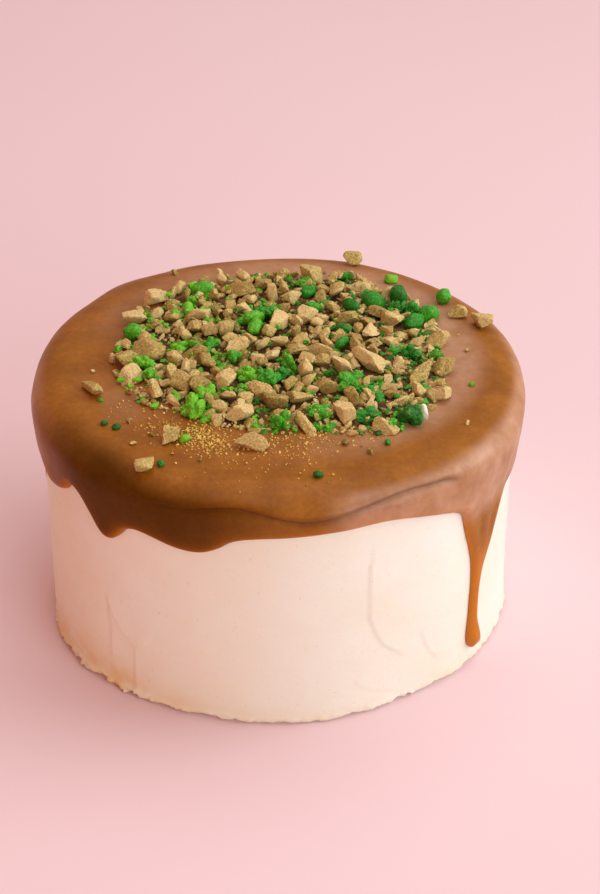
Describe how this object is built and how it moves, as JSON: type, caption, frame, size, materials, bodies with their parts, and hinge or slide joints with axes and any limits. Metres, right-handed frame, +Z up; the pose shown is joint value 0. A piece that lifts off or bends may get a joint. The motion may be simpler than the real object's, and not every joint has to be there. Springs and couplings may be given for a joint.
{
  "type": "layer cake",
  "caption": "Round layer cake in smooth buttercream with a poured caramel-brown glaze that drips down the side, topped with a heap of chopped biscuit and green crumble.",
  "frame": {"origin": "centre of the flat base, on the surface that the cake stands on", "axes": "+Z up, -Y towards the front that the picture shows, +X to its right"},
  "size_m": [0.1665, 0.168, 0.1002],
  "materials": {
    "buttercream": "smooth spread buttercream, satin matte",
    "caramel_glaze": "poured caramel-chocolate glaze, satin",
    "chopped_biscuit": "chopped biscuit, dry and matte",
    "green_crumble": "green crumble, grainy, dry and matte"
  },
  "bodies": {
    "root": {"cake": "buttercream", "glaze": "caramel_glaze", "topping_heap": "chopped_biscuit", "chunk_far_rim": "chopped_biscuit", "chunk_right": "chopped_biscuit", "chunk_right_rim": "chopped_biscuit", "pellet_right": "green_crumble", "shard_left": "chopped_biscuit", "chunk_front_left": "chopped_biscuit", "chunk_front": "chopped_biscuit", "lens_front": "chopped_biscuit"}
  },
  "joints": []
}
